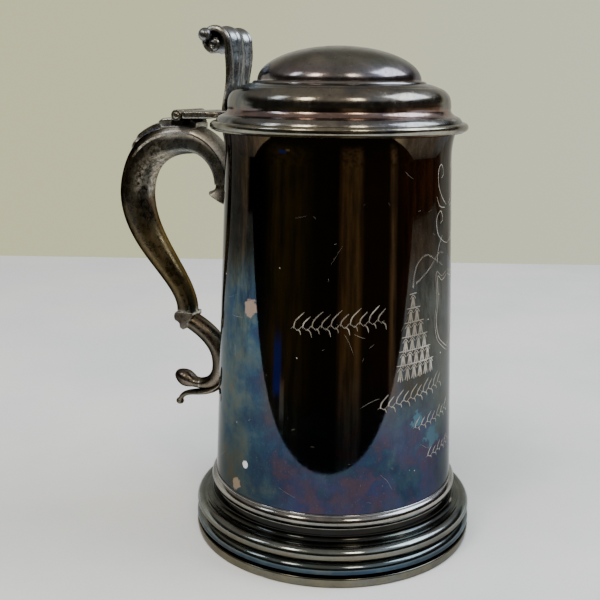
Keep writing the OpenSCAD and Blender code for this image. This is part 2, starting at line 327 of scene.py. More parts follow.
class Tree:
    """Short names for building a node tree."""

    def __init__(self, tree, vector):
        self.tree = tree
        self.coords = self.new("ShaderNodeTexCoord").outputs[vector]

    def new(self, kind, **settings):
        node = self.tree.nodes.new(kind)
        for key, value in settings.items():
            setattr(node, key, value)
        return node

    def link(self, a, b):
        self.tree.links.new(a, b)

    def put(self, socket, value):
        """Links a socket, or sets a number or a colour on it."""
        if isinstance(value, (int, float)):
            socket.default_value = value
        elif isinstance(value, tuple):
            socket.default_value = value + (1,) * (len(socket.default_value) - len(value))
        else:
            self.link(value, socket)

    def math(self, op, a, b=0.0, clamp=False):
        node = self.new("ShaderNodeMath", operation=op, use_clamp=clamp)
        self.put(node.inputs[0], a)
        self.put(node.inputs[1], b)
        return node.outputs[0]

    def chain(self, op, values, clamp):
        out = values[0]
        for i, value in enumerate(values[1:], 2):
            out = self.math(op, out, value, clamp and i == len(values))
        return out

    def times(self, *values, clamp=False):
        return self.chain("MULTIPLY", values, clamp)

    def plus(self, *values, clamp=False):
        return self.chain("ADD", values, clamp)

    def minus(self, *values):
        return self.chain("SUBTRACT", values, False)

    def window(self, value, up, down):
        """A mask that rises over the pair up and falls over the pair down."""
        return self.times(self.span(value, *up), self.span(value, *down))

    def stretch(self, scale=(1, 1, 1), turn=(0, 0, 0)):
        node = self.new("ShaderNodeMapping")
        node.inputs["Scale"].default_value = scale
        node.inputs["Rotation"].default_value = turn
        self.link(self.coords, node.inputs["Vector"])
        return node.outputs[0]

    def noise(self, scale, detail=4, rough=0.5, warp=0.0, at=None, offset=0.0):
        node = self.new("ShaderNodeTexNoise", noise_dimensions="4D")
        for socket, value in (("W", offset), ("Scale", scale), ("Detail", detail),
                              ("Roughness", rough), ("Distortion", warp)):
            node.inputs[socket].default_value = value
        self.link(at or self.coords, node.inputs["Vector"])
        return node.outputs[0]

    def span(self, value, low, high, to_low=0.0, to_high=1.0):
        """Smoothly from to_low at low to to_high at high."""
        node = self.new("ShaderNodeMapRange", interpolation_type="SMOOTHSTEP")
        self.put(node.inputs["Value"], value)
        for socket, bound in (("From Min", low), ("From Max", high),
                              ("To Min", to_low), ("To Max", to_high)):
            node.inputs[socket].default_value = bound
        return node.outputs[0]

    def ramp(self, value, stops):
        node = self.new("ShaderNodeValToRGB")
        bar = node.color_ramp
        while len(bar.elements) < len(stops):
            bar.elements.new(0.5)
        for element, (place, colour) in zip(bar.elements, stops):
            element.position = place
            element.color = (*colour, 1)
        self.link(value, node.inputs[0])
        return node.outputs[0]

    def mix(self, factor, a, b):
        node = self.new("ShaderNodeMix", data_type="RGBA")
        self.put(node.inputs[0], factor)
        self.put(node.inputs[6], a)
        self.put(node.inputs[7], b)
        return node.outputs[2]

    def axis(self, name, vector=None):
        node = self.new("ShaderNodeSeparateXYZ")
        self.link(vector or self.coords, node.inputs[0])
        return node.outputs[name]


class Nodes(Tree):
    """A material, with lengths in metres from the CAD's origin."""

    def __init__(self, name, slot):
        self.mat = bpy.data.materials.new(name)
        self.mat.use_nodes = True
        super().__init__(self.mat.node_tree, "Object")
        self.shader = self.tree.nodes["Principled BSDF"]

    def bump(self, height, strength, distance):
        node = self.new("ShaderNodeBump")
        node.inputs["Strength"].default_value = strength
        node.inputs["Distance"].default_value = distance
        self.link(height, node.inputs["Height"])
        self.link(node.outputs[0], self.shader.inputs["Normal"])

    def finish(self, colour, rough, metallic=1.0):
        self.put(self.shader.inputs["Base Color"], colour)
        self.put(self.shader.inputs["Roughness"], rough)
        self.put(self.shader.inputs["Metallic"], metallic)
        return self.mat


# the sulphide film's colours, from bare plate to the thickest
FILM = [(0.00, (0.55, 0.53, 0.49)), (0.12, (0.48, 0.39, 0.25)), (0.24, (0.20, 0.13, 0.08)),
        (0.36, (0.095, 0.06, 0.062)), (0.47, (0.075, 0.065, 0.105)), (0.58, (0.035, 0.062, 0.125)),
        (0.70, (0.045, 0.095, 0.15)), (0.84, (0.10, 0.145, 0.155)), (1.00, (0.155, 0.155, 0.125))]


def patina(n, tint, film, spread, dark, wear, rough, haze, cover=(0.3, 0.7), glance=0.6,
           shade=0.0, metal=1.0):
    """Silver plate under a sulphide film, whose thickness sets its colour.

    tint is the worn plate's own colour, film how thick the film is (a place on FILM),
    spread how far patches stray from it and cover how much of the tint it hides. dark is
    how much soot lies over it, and on the handle's outer faces painted shade as well, wear
    how bright rubbed edges are, haze how much of the surface has gone matt and glance how
    much of the shine seen at a slant is left. shade masks painted shade, where the colour
    goes nearly black, and metal is below 1 where bright metal scatters the light.
    """
    broad = n.noise(22, 3, 0.55, 0.3, offset=1.3)
    patch = n.noise(75, 5, 0.6, 0.5, offset=4.7)
    speck = n.noise(420, 4, 0.7, offset=9.1)
    thick = n.plus(n.span(broad, 0.3, 0.7, -spread, spread),
                   n.span(patch, 0.3, 0.7, -0.6 * spread, 0.6 * spread), film, clamp=True)
    colour = n.mix(n.span(patch, 0.40, 0.66, *cover), tint, n.ramp(thick, FILM))
    soot = n.span(n.noise(48, 6, 0.65, 0.5, offset=12.0), 0.35, 0.68)
    dots = n.span(n.noise(700, 3, 0.75, offset=15.0), 0.55, 0.68)
    colour = n.mix(n.times(soot, dark, clamp=True), colour, (0.030, 0.026, 0.020))
    colour = n.mix(n.times(dots, dark, clamp=True), colour, (0.05, 0.035, 0.022))
    colour = n.mix(shade, colour, (0.014, 0.012, 0.010))
    edge = n.new("ShaderNodeNewGeometry").outputs["Pointiness"]
    rub = n.times(n.span(edge, 0.515, 0.60), n.span(speck, 0.35, 0.62, 0.35, wear))
    colour = n.mix(rub, colour, (0.66, 0.62, 0.54))
    grime = n.span(edge, 0.49, 0.40, 0.0, 0.75)
    colour = n.mix(grime, colour, (0.03, 0.024, 0.018))
    dull = n.span(n.noise(160, 5, 0.7, 0.4, offset=21.0), 0.42, 0.68, 0.0, haze)
    roughness = n.plus(n.times(dull, 0.3), n.span(speck, 0.3, 0.75, rough * 0.75, rough * 1.5),
                       clamp=True)
    hairs = n.noise(900, 2, 0.5, at=n.stretch((1, 1, 0.04), (0.5, 0.3, 0)), offset=3.0)
    n.bump(n.plus(n.times(hairs, 0.4), n.times(patch, 0.6)), 0.10, 0.0002)
    n.put(n.shader.inputs["Specular Tint"], (glance, glance, glance))
    return n.finish(colour, roughness, metal)


def by_height(n, low, high, bands):
    """A colour for each height in mm, running smoothly from one to the next."""
    place = n.math("DIVIDE", n.minus(n.axis("Z"), low * MM), (high - low) * MM)
    return n.ramp(place, [((z - low) / (high - low), colour) for z, colour in bands])


def foot_plate():
    """The foot: brassy where it meets the table, blue above that, then olive and grey,
    with painted shade in the hollow under the bead.
    """
    n = Nodes("foot_plate", "plated_foot")
    tint = by_height(n, 0, 30, [
        (0.0, (0.20, 0.175, 0.12)), (4.0, (0.19, 0.165, 0.11)), (4.4, (0.09, 0.09, 0.08)),
        (5.0, (0.020, 0.035, 0.06)), (7.2, (0.030, 0.052, 0.08)), (8.4, (0.15, 0.19, 0.21)),
        (9.8, (0.13, 0.15, 0.15)), (10.4, (0.05, 0.045, 0.035)), (11.4, (0.17, 0.14, 0.09)),
        (13.0, (0.19, 0.16, 0.11)), (14.2, (0.24, 0.24, 0.21)), (15.2, (0.36, 0.40, 0.40)),
        (16.4, (0.20, 0.21, 0.20)), (17.4, (0.055, 0.06, 0.055)), (21.8, (0.05, 0.05, 0.045)),
        (22.6, (0.16, 0.14, 0.12)), (25.0, (0.46, 0.43, 0.38)), (27.4, (0.42, 0.42, 0.44))])
    z = n.axis("Z")
    # painted shade: the hollow under the bead is darkened towards black here, as its dark tint
    # stops at 17.4 and 21.8 mm also do
    hollow = n.times(n.span(z, 0.0168, 0.0180), n.span(z, 0.0222, 0.0216, 0.0, 0.85))
    return patina(n, tint, 0.74, 0.24, 0.40, 0.6, 0.10, 0.2, (0.10, 0.45), shade=hollow)


def lid_plate():
    """The lid: grey and brown, pinkish in the hollow over the rim and at the dome's foot."""
    n = Nodes("lid_plate", "plated_lid")
    tint = by_height(n, 176, 214, [
        (176.0, (0.42, 0.41, 0.33)), (181.9, (0.42, 0.41, 0.33)), (182.2, (0.30, 0.31, 0.31)),
        (184.3, (0.30, 0.30, 0.30)), (184.8, (0.40, 0.29, 0.27)), (187.0, (0.40, 0.29, 0.27)),
        (188.4, (0.30, 0.29, 0.26)), (196.0, (0.30, 0.29, 0.26)), (197.4, (0.36, 0.34, 0.31)),
        (198.6, (0.32, 0.27, 0.28)), (203.0, (0.30, 0.26, 0.27)), (206.0, (0.33, 0.315, 0.28)),
        (213.0, (0.33, 0.315, 0.28))])
    return patina(n, tint, 0.46, 0.34, 0.4, 0.7, 0.15, 0.3, (0.12, 0.55))


def handle_plate():
    """The handle: soot and painted shade outside, freckled silver with painted glints
    inside, straw low down, blue-grey above with a painted highlight on the limb's top.
    """
    n = Nodes("handle_plate", "plated_handle")
    normal = n.new("ShaderNodeTexCoord").outputs["Normal"]
    face_x, face_z = n.axis("X", normal), n.axis("Z", normal)
    x, z = n.axis("X"), n.axis("Z")

    tint = n.mix(n.span(z, 0.150, 0.125), (0.20, 0.18, 0.145), (0.16, 0.13, 0.075))
    tint = n.mix(n.span(z, 0.092, 0.084), tint, (0.27, 0.235, 0.195))
    limb = n.times(n.span(x, -0.086, -0.076), n.span(z, 0.12, 0.15))
    tint = n.mix(limb, tint, (0.22, 0.25, 0.27))
    bend = n.times(n.window(x, (-0.101, -0.094), (-0.074, -0.086)), n.span(z, 0.142, 0.153))
    # painted glints: pale freckles on the crown's bend, only on faces turned towards the drum;
    # partly real worn silver, partly painted highlight
    freckles_and_glints = n.span(n.noise(520, 5, 0.75, 0.3, offset=27.0), 0.44, 0.56)
    freckles_and_glints = n.times(freckles_and_glints, n.span(face_x, -0.22, 0.28), bend)
    tint = n.mix(freckles_and_glints, tint, (0.74, 0.68, 0.58))
    tint = n.mix(n.window(z, (0.094, 0.106), (0.138, 0.126)), tint, (0.29, 0.215, 0.10))
    # painted highlight: the limb's upward-facing top is made pale
    painted_highlight_ribbon = n.times(limb, n.span(face_z, 0.05, 0.35))
    tint = n.mix(painted_highlight_ribbon, tint, (0.66, 0.63, 0.57))

    # painted shade: faces turned away from the drum are darkened towards black here, through the
    # extra dark amount and the shade mask; only part of it is real soot
    ragged = n.span(n.noise(90, 6, 0.75, 0.4, offset=24.0), 0.30, 0.62, 0.62, 1.0)
    outer = n.times(n.span(face_x, 0.20, -0.45), ragged)
    tint = n.mix(n.times(outer, 0.85), tint, (0.040, 0.038, 0.026))
    high = n.times(n.span(z, 0.120, 0.140), n.minus(1.0, limb))
    dark = n.plus(0.40, n.times(outer, n.plus(0.25, n.times(high, 0.5))))
    bright = n.plus(n.times(painted_highlight_ribbon, 0.55), n.times(freckles_and_glints, 0.3), clamp=True)
    return patina(n, tint, 0.22, 0.16, dark, 0.9, 0.24, 0.4, (0.05, 0.40), 0.2,
                  n.times(outer, 0.65), n.minus(1.0, bright))


def hinge_plate():
    """The hinge: pale worn plates, with painted shade under the tongue."""
    n = Nodes("hinge_plate", "plated_hinge")
    # painted shade: the strap under the tongue is darkened towards black
    painted_shade_under_tongue = n.times(n.span(n.axis("X"), -0.0755, -0.0725),
                  n.span(n.axis("Z"), 0.1820, 0.1810, 0.0, 0.85))
    return patina(n, (0.54, 0.54, 0.51), 0.20, 0.14, 0.45, 0.7, 0.24, 0.4, (0.1, 0.6), shade=painted_shade_under_tongue)


def thumb_plate():
    """The thumbpiece: blue-grey, with worn ridges."""
    n = Nodes("thumb_plate", "plated_thumb")
    return patina(n, (0.45, 0.47, 0.48), 0.66, 0.26, 0.45, 0.7, 0.26, 0.3, (0.15, 0.5))


def from_front(n):
    """Angle round the drum in radians, 0 facing the camera's side and growing to its right."""
    c, s = math.cos(CAMERA_TURN), math.sin(CAMERA_TURN)
    x, y = n.axis("X"), n.axis("Y")
    across = n.plus(n.times(x, c), n.times(y, s))
    toward = n.minus(n.times(x, s), n.times(y, c))
    return n.math("ARCTAN2", across, toward)


def stain_mask(n, degrees, z, size, ragged):
    """A mask for one stain on the drum, at an angle from the front and a height in mm."""
    a = math.radians(degrees - 90) + CAMERA_TURN
    r = drum_r(z)
    node = n.new("ShaderNodeVectorMath", operation="DISTANCE")
    n.link(n.coords, node.inputs[0])
    node.inputs[1].default_value = (r * math.cos(a) * MM, r * math.sin(a) * MM, z * MM)
    rough = n.span(n.noise(260, 4, 0.7, offset=degrees), 0.3, 0.7, -ragged, ragged)
    far = n.plus(n.math("DIVIDE", node.outputs["Value"], size * MM), rough)
    return n.span(far, 1.0, 0.75)


# degrees from the front, height, size, how ragged the edge is, colour
STAINS = ((-43, 109, 4.2, 0.35, (0.34, 0.25, 0.20)),
          (-50, 31.5, 3.2, 0.35, (0.30, 0.23, 0.17)),
          (-44, 42, 2.0, 0.12, (0.85, 0.86, 0.86)),
          (42, 64, 3.4, 0.6, (0.07, 0.13, 0.17)),
          (52, 54, 5.0, 0.7, (0.06, 0.11, 0.15)))


def drum_colour(n, z, phi, patch):
    """The film on the drum's outside, at the height z and the angle phi."""
    left, right = n.span(phi, -0.50, -0.95), n.span(phi, 0.60, 1.05)
    seen = n.span(phi, 2.8, 2.0)            # lets what depends on phi fade before the seam
    broad = n.noise(40, 3, 0.55, 0.2, offset=2.0)
    thick = n.minus(n.plus(n.times(left, 0.24), n.times(right, 0.24)),
                    n.span(z, 0.125, 0.168, 0.0, 0.36))
    thick = n.plus(thick, n.span(broad, 0.3, 0.7, -0.10, 0.12),
                   n.span(patch, 0.3, 0.7, -0.12, 0.12), 0.60, clamp=True)
    colour = n.mix(n.span(z, 0.085, 0.030, 0.12, 0.50), n.ramp(thick, FILM), (0, 0, 0))

    plum = n.span(n.noise(55, 4, 0.6, 0.4, offset=51.0), 0.42, 0.56)
    low_front = n.times(n.span(z, 0.080, 0.055), n.window(phi, (-0.6, -0.2), (2.2, 1.5)))
    violet = n.mix(n.span(patch, 0.42, 0.58), (0.075, 0.045, 0.075), (0.040, 0.040, 0.105))
    colour = n.mix(n.times(low_front, plum, 0.62), colour, violet)

    olive = n.times(n.span(phi, 0.42, 0.62), seen, n.span(z, 0.056, 0.080),
                    n.span(patch, 0.3, 0.7, 0.95, 0.65))
    colour = n.mix(olive, colour,
                   n.mix(n.span(phi, 0.75, 1.20), (0.058, 0.050, 0.034), (0.15, 0.145, 0.13)))

    drips = n.noise(240, 4, 0.7, at=n.stretch((1, 1, 0.06)), offset=61.0)
    brown = n.mix(n.span(drips, 0.46, 0.60), (0.012, 0.010, 0.006), (0.055, 0.036, 0.018))
    brown = n.mix(n.times(n.span(phi, -0.1, 0.5), seen), brown, (0.040, 0.026, 0.015))
    thin = n.times(n.span(phi, 0.8, 1.15, 0.0, 0.5), seen)
    colour = n.mix(n.times(n.span(z, 0.112, 0.136), n.minus(0.92, thin)), colour, brown)

    rain = n.span(n.noise(300, 5, 0.75, at=n.stretch((1, 1, 0.2)), offset=40.0), 0.44, 0.62)
    colour = n.mix(n.times(rain, n.span(z, 0.07, 0.12, 0.12, 0.45)), colour, (0, 0, 0))
    front = n.window(phi, (-0.66, -0.50), (0.58, 0.46))
    colour = n.mix(n.times(front, n.span(z, 0.050, 0.100)), colour, (0.120, 0.085, 0.048))
    soot = n.span(n.noise(34, 6, 0.65, 1.0, offset=14.0), 0.38, 0.68)
    colour = n.mix(n.times(soot, n.span(z, 0.05, 0.16, 0.25, 0.5)), colour,
                   (0.045, 0.036, 0.028))
    for *place, tone in STAINS:
        colour = n.mix(stain_mask(n, *place), colour, tone)
    dust = n.span(n.noise(1500, 2, 0.6, offset=44.0), 0.62, 0.70)
    return n.mix(n.times(dust, 0.25), colour, (0.20, 0.20, 0.18))


def drum_metal():
    """The drum: brown above, blue and violet in front low down, teal left and olive right."""
    n = Nodes("drum_plate", "plated_drum")
    z = n.axis("Z")
    patch = n.noise(110, 5, 0.62, 0.4, offset=5.5)
    colour = drum_colour(n, z, from_front(n), patch)

    flat = n.new("ShaderNodeVectorMath", operation="LENGTH")
    n.link(n.stretch((1, 1, 0)), flat.inputs[0])
    depth = n.minus(DRUM_LOW_R * MM, flat.outputs["Value"],
                    n.times(z, (DRUM_LOW_R - DRUM_TOP_R) / MOUTH_Z))
    inside = n.span(depth, 0.0006, 0.0012)
    lining = n.mix(n.span(patch, 0.3, 0.7), (0.34, 0.31, 0.26), (0.24, 0.20, 0.15))
    colour = n.mix(inside, colour, lining)

    pits = n.new("ShaderNodeTexVoronoi", feature="F1")
    pits.inputs["Scale"].default_value = 190
    n.link(n.coords, pits.inputs["Vector"])
    pin = n.times(n.span(pits.outputs["Distance"], 0.085, 0.045),
                  n.span(n.noise(45, 2, offset=31.0), 0.56, 0.62))
    colour = n.mix(pin, colour, (0.62, 0.60, 0.58))

    speck = n.noise(520, 3, 0.6, offset=8.8)
    rough = n.plus(n.span(speck, 0.3, 0.75, 0.03, 0.075), n.times(n.span(patch, 0.55, 0.75), 0.05),
                   n.times(pin, 0.4), n.times(inside, 0.22))
    hairs = n.noise(700, 2, 0.5, at=n.stretch((1, 1, 0.05), (0.35, 0.2, 0)), offset=3.0)
    wave = n.noise(14, 2, 0.4, offset=17.0)
    n.bump(n.plus(n.times(hairs, 0.04), n.times(patch, 0.06), n.times(wave, 0.5)), 0.5, 0.0002)
    n.put(n.shader.inputs["Specular Tint"], (0.55, 0.55, 0.55))
    matt = n.plus(n.times(pin, 0.6), n.times(inside, 0.55))
    return n.finish(colour, rough, n.minus(1.0, matt))


def bright_cut():
    """The engraver's cut, where bright silver scatters the light."""
    n = Nodes("bright_cut", "plated_drum")
    tone = n.noise(260, 3, 0.6, offset=6.0)
    fade = n.span(n.noise(60, 2, 0.5, offset=2.0), 0.35, 0.6)
    colour = n.ramp(n.times(n.span(tone, 0.3, 0.7), fade),
                    [(0, (0.26, 0.23, 0.19)), (1, (0.60, 0.57, 0.51))])
    return n.finish(colour, n.span(tone, 0.3, 0.7, 0.42, 0.60), 0.45)


# ------------------------------------------------------------------ camera

CAMERA_BACK = 387.6                 # distance from the drum's axis, mm
CAMERA_HEIGHT = 198.2               # above the table, mm
CAMERA_YAW = -0.0403                # radians, as are pitch and roll
CAMERA_PITCH = 0.2380
CAMERA_ROLL = 0.008
CAMERA_LENS = 54.14                 # focal length on a 36 mm sensor
TURN = Matrix.Rotation(CAMERA_TURN, 4, "Z")     # from the view's axes to the CAD's


def make_camera():
    data = bpy.data.cameras.new("camera")
    data.sensor_width = 36
    data.lens = CAMERA_LENS
    data.clip_start = 0.01
    data.clip_end = 20
    cam = bpy.data.objects.new("camera", data)
    bpy.context.scene.collection.objects.link(cam)
    look = Vector((math.sin(CAMERA_YAW) * math.cos(CAMERA_PITCH),
                   math.cos(CAMERA_YAW) * math.cos(CAMERA_PITCH), -math.sin(CAMERA_PITCH)))
    right = Vector((math.cos(CAMERA_YAW), -math.sin(CAMERA_YAW), 0))
    up = right.cross(look)
    right, up = (right * math.cos(CAMERA_ROLL) + up * math.sin(CAMERA_ROLL),
                 up * math.cos(CAMERA_ROLL) - right * math.sin(CAMERA_ROLL))
    axes = Matrix((right, up, -look)).transposed().to_4x4()
    place = Matrix.Translation(Vector((0, -CAMERA_BACK, CAMERA_HEIGHT)) * MM)
    cam.matrix_world = TURN @ place @ axes
    bpy.context.scene.camera = cam


# ------------------------------------------------------------------ stage and light

# in metres
FLOOR_BACK = 0.62       # the pale table ends this far behind the tankard
TABLE_HALF = 1.6        # and this far to either side and towards the viewer
TABLE_FRONT = 0.176     # in the metal's reflections it also ends this far in front
TABLE_SLANT = -0.10     # along an edge that slants this much across the view
LAMP_AIM = 0.12         # height of the point that the lamps face


# the dim room's streaks: degrees round the tankard, colour
STREAKS = ((-110, (0.030, 0.022, 0.015)), (-82, (0.024, 0.020, 0.010)),
           (-62, (0.10, 0.090, 0.040)), (-36, (0.085, 0.075, 0.032)),
           (-20, (0.020, 0.018, 0.012)), (1, (0.020, 0.016, 0.012)),
           (6, (0.26, 0.18, 0.10)), (21, (0.34, 0.25, 0.14)), (27, (0.04, 0.026, 0.018)),
           (52, (0.04, 0.024, 0.016)), (56, (0.44, 0.34, 0.25)), (62, (0.04, 0.024, 0.016)),
           (76, (0.36, 0.17, 0.07)), (116, (0.40, 0.20, 0.10)))
SWEEP = 240             # the streaks fill this many degrees, centred on the camera's side


def dim_room(n, way, z):
    """What lies past the table's edge: upright streaks, a blue glint and a pale one."""
    place = n.plus(n.times(way, 180 / math.pi / SWEEP), 0.5)
    streaks = n.ramp(place, [(degrees / SWEEP + 0.5, colour) for degrees, colour in STREAKS])
    join = n.new("ShaderNodeCombineXYZ")
    n.link(way, join.inputs[0])
    n.link(n.times(z, 1.2), join.inputs[2])
    grain = n.new("ShaderNodeTexNoise")
    grain.inputs["Scale"].default_value = 9
    grain.inputs["Detail"].default_value = 5
    grain.inputs["Roughness"].default_value = 0.7
    n.link(join.outputs[0], grain.inputs["Vector"])
    lively = n.plus(n.times(n.span(grain.outputs[0], 0.38, 0.60), 0.7), 0.3)
    lively = n.times(lively, n.span(z, -0.46, -0.22))
    dim = n.mix(lively, (0.022, 0.024, 0.018), streaks)
    blue = n.times(n.window(way, (-1.07, -1.03), (-0.88, -0.94)),
                   n.window(z, (-0.275, -0.265), (-0.200, -0.225)))
    dim = n.mix(blue, dim, (0.04, 0.08, 0.75))
    pale = n.times(n.window(way, (-0.93, -0.91), (-0.83, -0.86)),
                   n.window(z, (-0.30, -0.292), (-0.252, -0.262)), 0.8)
    return n.mix(pale, dim, (0.55, 0.48, 0.36))


def room():
    """A pale wall behind, a dim room in front and a grey ceiling, as the metal sees them."""
    world = bpy.data.worlds.new("room")
    bpy.context.scene.world = world
    world.use_nodes = True
    world.node_tree.nodes.clear()
    n = Tree(world.node_tree, "Generated")
    n.coords = n.stretch(turn=(0, 0, -CAMERA_TURN))
    x, y, z = (n.axis(name) for name in "XYZ")
    way = n.math("ARCTAN2", x, n.times(y, -1.0))

    front = n.mix(n.span(z, 0.0, 0.08), dim_room(n, way, z), (0.040, 0.034, 0.026))
    behind = n.minus(y, n.math("MAXIMUM", z, 0.0), n.times(n.math("MAXIMUM", x, 0.0), 0.45))
    walls = n.mix(n.span(behind, 0.10, 0.20), front, (0.78, 0.77, 0.66))
    ceiling = n.mix(n.span(x, 0.10, 0.70), (0.38, 0.345, 0.29), (0.66, 0.70, 0.74))
    around = n.mix(n.span(z, 0.34, 0.60), walls, ceiling)
    backdrop = n.mix(n.span(x, -0.35, 0.45), (0.70, 0.69, 0.42), (0.78, 0.79, 0.60))
    direct = n.new("ShaderNodeLightPath").outputs["Is Camera Ray"]
    light = n.new("ShaderNodeBackground")
    n.link(n.mix(direct, around, backdrop), light.inputs["Color"])
    n.link(light.outputs[0], n.new("ShaderNodeOutputWorld").inputs[0])


def table():
    """A pale table; the part nearest the viewer isn't there for the metal to mirror."""
    n = Nodes("table", None)
    tone = n.noise(9, 5, 0.55, offset=2.0)
    grit = n.noise(900, 2, 0.6, offset=5.0)
    colour = n.ramp(n.span(tone, 0.35, 0.65), [(0, (0.78, 0.81, 0.83)), (1, (0.86, 0.88, 0.87))])
    colour = n.mix(n.span(grit, 0.66, 0.76), colour, (0.56, 0.54, 0.49))
    n.bump(n.noise(260, 3, 0.6, offset=8.0), 0.25, 0.0006)
    mat = n.finish(colour, 0.6, 0.0)
    s = TABLE_HALF
    left, right = -TABLE_FRONT - TABLE_SLANT * s, -TABLE_FRONT + TABLE_SLANT * s
    for name, corners in (
            ("table_back", [(-s, left), (s, right), (s, FLOOR_BACK), (-s, FLOOR_BACK)]),
            ("table_front", [(-s, -s), (s, -s), (s, right), (-s, left)])):
        mesh = bpy.data.meshes.new(name)
        mesh.from_pydata([(x, y, 0) for x, y in corners], [], [(0, 1, 2, 3)])
        ob = bpy.data.objects.new(name, mesh)
        bpy.context.scene.collection.objects.link(ob)
        ob.matrix_world = TURN
        mesh.materials.append(mat)
        ob.visible_glossy = name == "table_back"


def lamp(name, azimuth, elevation, distance, size, radiance, colour, mirrored=True):
    """A soft box aimed at the drum; azimuth 0 is the camera's side, positive to its right."""
    a, e = math.radians(azimuth), math.radians(elevation)
    away = Vector((math.sin(a) * math.cos(e), -math.cos(a) * math.cos(e), math.sin(e)))
    target = Vector((0, 0, LAMP_AIM))
    data = bpy.data.lights.new(name, "AREA")
    data.shape = "RECTANGLE"
    data.size, data.size_y = size
    data.energy = math.pi * size[0] * size[1] * radiance
    data.color = colour
    ob = bpy.data.objects.new(name, data)
    bpy.context.scene.collection.objects.link(ob)
    ob.matrix_world = TURN @ (Matrix.Translation(target + away * distance)
                              @ away.to_track_quat("Z", "Y").to_matrix().to_4x4())
    ob.visible_glossy = mirrored


def lights():
    """Two warm boxes and two cool windows that the metal mirrors, and one that it doesn't."""
    lamp("warm_left", -37, 41, 1.3, (0.22, 0.30), 14, (1.0, 0.88, 0.70))
    lamp("warm_right", 21, 41, 1.3, (0.22, 0.30), 13, (1.0, 0.86, 0.66))
    lamp("window_right", 92, 44, 1.3, (0.90, 0.60), 7, (0.82, 0.91, 1.0))
    lamp("window_left", -72, 40, 1.3, (0.20, 0.34), 7, (0.90, 0.96, 1.0))
    lamp("overhead", -35, 64, 2.0, (1.2, 1.2), 6, (1.0, 0.99, 0.97), mirrored=False)


# ------------------------------------------------------------------ turned pieces

def turned(name, profile, body, metal, node, fine=True, n=192, crease=32):
    """A lathed piece; a fine one has rows close together, for the wear along its edges."""
    verts, faces = lathe(profile, n, WEAR_STEP if fine else None)
    add(name, verts, faces, body, metal, [node], crease)


def foot_pieces(metal):
    """The foot's band, two rounds and hollow, and the bead round the drum's base."""
    low_r, low_z = FOOT_R - TORUS_LOW, BAND_H + TORUS_LOW
    high_r = FOOT_R - TORUS_HIGH - 0.8
    high_z = low_z + TORUS_LOW + TORUS_HIGH - 0.1
    base_z = low_z + TORUS_LOW
    top_r = drum_r(FOOT_Z)

    rim = [(FOOT_R - 2.6, 0.0), (FOOT_R - 1.0, 0.0)]
    rim += arc((FOOT_R - 0.9, 0.02), (FOOT_R - 0.25, 0.75), 0.18, 5)
    rim += arc((FOOT_R - 0.2, 0.9), (FOOT_R, BAND_H - 0.5), 0.12, 6)
    rim += arc((FOOT_R - 0.05, BAND_H - 0.4), (FOOT_R - 0.5, BAND_H), 0.12, 4)
    rim += [(FOOT_R - 2.6, BAND_H)]
    turned("foot_band", rim, "vessel", metal, "foot_rim")

    wire = [(low_r + TORUS_LOW * math.cos(a), low_z + TORUS_LOW * math.sin(a))
            for a in [2 * math.pi * k / 40 for k in range(40)]]
    turned("foot_lower_round", wire, "vessel", metal, "foot_torus")

    body = [(low_r - 2.2, base_z), (low_r + 0.3, base_z)]
    body += arc((high_r + 1.8, high_z - 2.65), (high_r - 0.3, high_z + 3.1), 3, 24)
    body += [(high_r - 0.9, high_z + 3.12), (high_r - 1.0, high_z + 3.5)]
    body += arc((high_r - 1.3, high_z + 3.55), (top_r + 0.9, FOOT_Z - 2.6), -0.9, 16)
    body += [(top_r + 0.8, FOOT_Z), (top_r, FOOT_Z)]
    body += [(drum_r(DRUM_FOOT_Z), DRUM_FOOT_Z), (drum_r(DRUM_FOOT_Z) - 1.2, DRUM_FOOT_Z - 0.1)]
    body += arc((top_r + 1.6, FOOT_Z - 4.6), (low_r - 3.6, base_z + 1.4), 0.5, 8)
    turned("foot_spread", body, "vessel", metal, "foot_moulding")

    bead_z = FOOT_Z + BEAD_H
    bead_r = drum_r(bead_z)
    bead = [(top_r, FOOT_Z)]
    bead += arc((top_r + 0.4, FOOT_Z), (top_r + 0.2, bead_z), BEAD_OUT - 0.3, 22)
    bead += arc((bead_r + 0.55, bead_z + 0.05), (bead_r + 0.1, bead_z + 0.75), 0.18, 5)
    bead += [(bead_r, bead_z + 0.75)]
    turned("drum_bead", bead, "vessel", metal, "foot_bead")


def drum_pieces(metal):
    """The drum's wall, its floor and the lip at its mouth."""
    shell = [(drum_r(z), z) for z in (DRUM_FOOT_Z, 24, 30, 60, 90, 120, 150, 168, 174, MOUTH_Z)]
    shell += [(drum_r(z) - WALL, z) for z in (MOUTH_Z, 174, 150, 90, 30, DRUM_FOOT_Z)]
    turned("drum", shell, "vessel", metal, "body_drum", fine=False, n=256)

    low, top = FOOT_Z - 1, FOOT_Z + 0.8
    disc = [(0, low), (drum_r(low) - WALL, low), (drum_r(top) - WALL, top)]
    disc += arc((drum_r(top) - WALL - 0.6, top - 0.05), (30.0, top - 0.4), 0.12, 6)
    disc += [(0, top - 0.4)]
    turned("drum_floor", disc, "vessel", metal, "body_floor", fine=False)

    lip_low, lip_steps = MOUTH_Z - LIP_FLARE, 24
    lip = [(drum_r(lip_low) - 0.3, lip_low)]
    for i in range(lip_steps + 1):
        f = i / lip_steps
        z = lip_low + (LIP_FLARE - 0.5) * f
        lip.append((drum_r(z) + 0.02 + (LIP_OUT - 0.02) * f ** 2.4, z))
    lip += arc((drum_r(MOUTH_Z) + LIP_OUT - 0.02, MOUTH_Z - 0.4),
               (drum_r(MOUTH_Z) + LIP_OUT - 0.4, MOUTH_Z), 0.12, 4)
    lip += [(drum_r(MOUTH_Z) - 0.3, MOUTH_Z)]
    turned("drum_lip", lip, "vessel", metal, "lip_moulding", fine=False)


